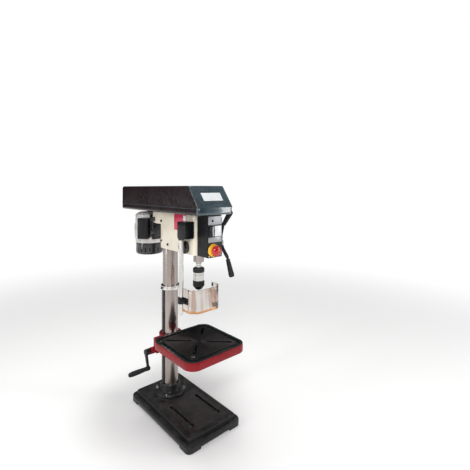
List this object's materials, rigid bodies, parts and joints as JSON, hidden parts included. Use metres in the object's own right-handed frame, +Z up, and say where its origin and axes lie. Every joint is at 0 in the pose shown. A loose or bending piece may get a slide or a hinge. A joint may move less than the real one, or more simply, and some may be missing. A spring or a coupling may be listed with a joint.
{
  "type": "bench drill press",
  "caption": "Belt-driven bench drill press: cast base, round column, geared tilting table, head with quill, keyless chuck, feed arms, rear motor, belt cover, chuck guard and control box.",
  "frame": {"origin": "bottom centre of the bounding box, where the base stands on the bench", "axes": "+Z up along the column, the operator and chuck on the -Y side, the motor on the +Y side, the feed arms on the +X side"},
  "size_m": [0.3806, 0.749, 1.0366],
  "materials": {
    "cast_black": "black paint over cast iron, satin",
    "ground_steel": "ground and polished steel",
    "dark_steel": "darkened steel",
    "black_oxide": "black oxide finish",
    "red_paint": "glossy deep red enamel on cast iron",
    "cream_paint": "cream white enamel on cast iron",
    "cover_black": "brownish black powder coat on sheet steel",
    "motor_grey": "silver grey enamel",
    "black_plastic": "black moulded plastic, fine grain",
    "rubber": "black rubber",
    "panel_grey": "light grey enamel",
    "yellow_plastic": "yellow moulded plastic",
    "red_plastic": "red moulded plastic",
    "clear_plastic": "clear polycarbonate"
  },
  "bodies": {
    "frame": {"base": "cast_black", "column_flange": "cast_black", "flange_bolt_1": "dark_steel", "flange_bolt_2": "dark_steel", "flange_bolt_3": "dark_steel", "flange_bolt_4": "dark_steel", "column": "ground_steel", "rack_ring": "ground_steel", "head": "cream_paint", "belt_pan": "cover_black", "lid_hinge_pin": "ground_steel", "pulley_bearing": "ground_steel", "idler_shaft": "ground_steel", "spindle_belt": "rubber", "motor_belt": "rubber", "return_spring_cap": "black_plastic", "return_spring": "dark_steel", "guard_switch_box": "black_plastic", "control_box": "black_plastic", "control_panel": "panel_grey", "estop_ring": "yellow_plastic", "cord_gland": "black_plastic"},
    "lift_rack": {"rack": "dark_steel"},
    "bracket": {"table_bracket": "red_paint", "tilt_bolt": "dark_steel"},
    "table_body": {"table": "red_paint"},
    "crank": {"crank_shaft": "dark_steel", "crank_arm": "cast_black", "crank_grip": "rubber"},
    "lift_wheel": {"lift_gear": "dark_steel"},
    "clamp": {"column_clamp_lever": "black_oxide"},
    "lid": {"belt_lid": "cover_black"},
    "quill_body": {"quill": "ground_steel", "lower_bearing": "ground_steel"},
    "spindle_body": {"spindle": "ground_steel", "chuck_ring": "black_oxide", "chuck_sleeve": "ground_steel", "chuck_nose": "black_oxide", "chuck_jaws": "dark_steel"},
    "feed": {"pinion_shaft": "dark_steel", "feed_hub": "panel_grey", "feed_arm_1": "black_oxide", "feed_arm_2": "black_oxide", "feed_arm_3": "black_oxide", "feed_grip_1": "rubber", "feed_grip_2": "rubber", "feed_grip_3": "rubber"},
    "front_pulley": {"spindle_pulley": "motor_grey"},
    "middle_pulley": {"idler_pulley": "motor_grey"},
    "rear_pulley": {"motor_pulley": "motor_grey"},
    "motor": {"motor_body": "motor_grey", "motor_fan_cover": "black_plastic", "motor_terminal_box": "black_plastic", "motor_slide": "dark_steel"},
    "tension": {"tension_lever": "black_oxide"},
    "guard_post": {"guard_tube": "ground_steel"},
    "guard": {"guard_clamp": "black_plastic", "guard_shield": "clear_plastic"},
    "switch_rocker": {"power_switch": "black_plastic"},
    "stop_button": {"estop_button": "red_plastic"}
  },
  "joints": [
    {"name": "table_swing", "type": "hinge", "parent": "frame", "child": "lift_rack", "pos_m": [0.0333, 0.0105, 0.3], "axis": [0, 0, 1], "range_deg": [-100, 100]},
    {"name": "table_lift", "type": "slide", "parent": "lift_rack", "child": "bracket", "axis": [0, 0, 1], "range_m": [-0.13, 0.12]},
    {"name": "table_tilt", "type": "hinge", "parent": "bracket", "child": "table_body", "pos_m": [0.0333, -0.0935, 0.283], "axis": [0, 1, 0], "range_deg": [-45, 45]},
    {"name": "lift_gear_turn", "type": "hinge", "parent": "bracket", "child": "lift_wheel", "pos_m": [-0.02578, 0.0105, 0.29858], "axis": [0, 1, 0], "range_deg": [-500, 500]},
    {"name": "crank_turn", "type": "hinge", "parent": "bracket", "child": "crank", "pos_m": [-0.0667, 0.0105, 0.272], "axis": [1, 0, 0], "range_deg": [-3100, 3100]},
    {"name": "column_clamp", "type": "hinge", "parent": "bracket", "child": "clamp", "pos_m": [0.0833, 0.0105, 0.283], "axis": [1, 0, 0], "range_deg": [-80, 10]},
    {"name": "lid_hinge", "type": "hinge", "parent": "frame", "child": "lid", "pos_m": [0.0333, 0.3695, 0.9523], "axis": [-1, 0, 0], "range_deg": [0, 80]},
    {"name": "quill_feed", "type": "slide", "parent": "frame", "child": "quill_body", "axis": [0, 0, -1], "range_m": [0, 0.065], "stiffness_N_per_m": 400, "springref_m": -0.2},
    {"name": "feed_turn", "type": "hinge", "parent": "frame", "child": "feed", "pos_m": [0.0333, -0.1879, 0.772], "axis": [1, 0, 0], "range_deg": [0, 290]},
    {"name": "spindle_spin", "type": "hinge", "parent": "quill_body", "child": "spindle_body", "pos_m": [0.0333, -0.2215, 0.7], "axis": [0, 0, 1], "continuous": true},
    {"name": "front_pulley_spin", "type": "hinge", "parent": "frame", "child": "front_pulley", "pos_m": [0.0333, -0.2215, 0.96], "axis": [0, 0, 1], "continuous": true},
    {"name": "middle_pulley_spin", "type": "hinge", "parent": "frame", "child": "middle_pulley", "pos_m": [0.0333, -0.0045, 0.96], "axis": [0, 0, 1], "continuous": true},
    {"name": "motor_spin", "type": "hinge", "parent": "motor", "child": "rear_pulley", "pos_m": [0.0333, 0.2185, 0.96], "axis": [0, 0, 1], "continuous": true},
    {"name": "motor_tension", "type": "slide", "parent": "frame", "child": "motor", "axis": [0, 1, 0], "range_m": [-0.008, 0]},
    {"name": "tension_lock", "type": "hinge", "parent": "frame", "child": "tension", "pos_m": [-0.0167, 0.0865, 0.876], "axis": [1, 0, 0], "range_deg": [-30, 20]},
    {"name": "guard_swing", "type": "hinge", "parent": "frame", "child": "guard_post", "pos_m": [-0.046, -0.2065, 0.7], "axis": [0, 0, 1], "range_deg": [-100, 0]},
    {"name": "guard_height", "type": "slide", "parent": "guard_post", "child": "guard", "axis": [0, 0, 1], "range_m": [0, 0.11]},
    {"name": "switch_rock", "type": "hinge", "parent": "frame", "child": "switch_rocker", "pos_m": [0.0133, -0.3351, 0.851], "axis": [1, 0, 0], "range_deg": [-7, 7]},
    {"name": "stop_press", "type": "slide", "parent": "frame", "child": "stop_button", "axis": [0, 1, 0], "range_m": [0, 0.005]}
  ],
  "couplings": [
    {"joint": "lift_gear_turn", "follows": "table_lift", "rad_per_m": 65.45},
    {"joint": "crank_turn", "follows": "table_lift", "rad_per_m": 392.7},
    {"joint": "feed_turn", "follows": "quill_feed", "rad_per_m": 76.923},
    {"joint": "front_pulley_spin", "follows": "spindle_spin", "ratio": 1},
    {"joint": "middle_pulley_spin", "follows": "spindle_spin", "ratio": 0.80392},
    {"joint": "motor_spin", "follows": "spindle_spin", "ratio": 0.64629}
  ]
}
